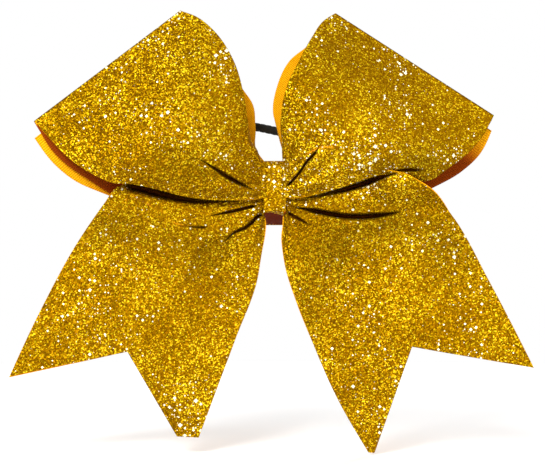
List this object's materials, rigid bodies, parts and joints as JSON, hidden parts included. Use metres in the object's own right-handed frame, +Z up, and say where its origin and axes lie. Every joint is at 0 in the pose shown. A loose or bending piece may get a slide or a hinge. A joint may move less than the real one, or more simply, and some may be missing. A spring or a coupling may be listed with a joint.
{
  "type": "cheer hair bow",
  "caption": "Large glitter hair bow with puffed folded loops, swallow-tailed tails, a wrapped knot and a hair elastic behind it.",
  "frame": {"origin": "middle of the flat back of the wrapped knot, where it sits against the ponytail or a clip", "axes": "+X right as the bow's face is looked at, -Y the way the face looks, +Z up, loops above the tails"},
  "size_m": [0.218, 0.0464, 0.1858],
  "materials": {
    "gold_glitter": "coarse metallic glitter",
    "orange_grosgrain": "ribbed grosgrain",
    "black_elastic": "braided, matt",
    "nylon": "natural nylon",
    "hot_glue": "cloudy, smooth",
    "crimp_metal": "satin"
  },
  "bodies": {
    "knot": {"knot_wrap_glitter": "gold_glitter", "knot_wrap_ribbon": "orange_grosgrain", "gathered_centre": "gold_glitter", "cable_tie": "nylon", "glue_pad": "hot_glue"},
    "elastic": {"hair_elastic": "black_elastic", "elastic_crimp": "crimp_metal"},
    "left_loop": {"left_loop_glitter": "gold_glitter", "left_loop_ribbon": "orange_grosgrain", "left_under_loop": "orange_grosgrain"},
    "right_loop": {"right_loop_glitter": "gold_glitter", "right_loop_ribbon": "orange_grosgrain", "right_under_loop": "orange_grosgrain"},
    "left_tail": {"left_tail_glitter": "gold_glitter", "left_tail_ribbon": "orange_grosgrain"},
    "right_tail": {"right_tail_glitter": "gold_glitter", "right_tail_ribbon": "orange_grosgrain"}
  },
  "joints": [
    {"name": "elastic_swing", "type": "hinge", "parent": "knot", "child": "elastic", "pos_m": [0, -0.0038, 0.005], "axis": [-1, 0, 0], "range_deg": [0, 100], "stiffness_Nm_per_rad": 0.004},
    {"name": "left_loop_flex", "type": "hinge", "parent": "knot", "child": "left_loop", "pos_m": [-0.0055, -0.0125, 0.006], "axis": [0, 0, 1], "range_deg": [-4, 15], "stiffness_Nm_per_rad": 0.02},
    {"name": "right_loop_flex", "type": "hinge", "parent": "knot", "child": "right_loop", "pos_m": [0.0055, -0.0125, 0.006], "axis": [0, 0, -1], "range_deg": [-4, 15], "stiffness_Nm_per_rad": 0.02},
    {"name": "left_tail_swing", "type": "hinge", "parent": "knot", "child": "left_tail", "pos_m": [-0.0055, -0.0135, -0.0029], "axis": [-0.9959, -0.056, 0.0708], "range_deg": [-25, 25], "stiffness_Nm_per_rad": 0.006},
    {"name": "right_tail_swing", "type": "hinge", "parent": "knot", "child": "right_tail", "pos_m": [0.0055, -0.0142, -0.0026], "axis": [-0.9708, 0.1384, -0.1961], "range_deg": [-25, 25], "stiffness_Nm_per_rad": 0.006}
  ]
}
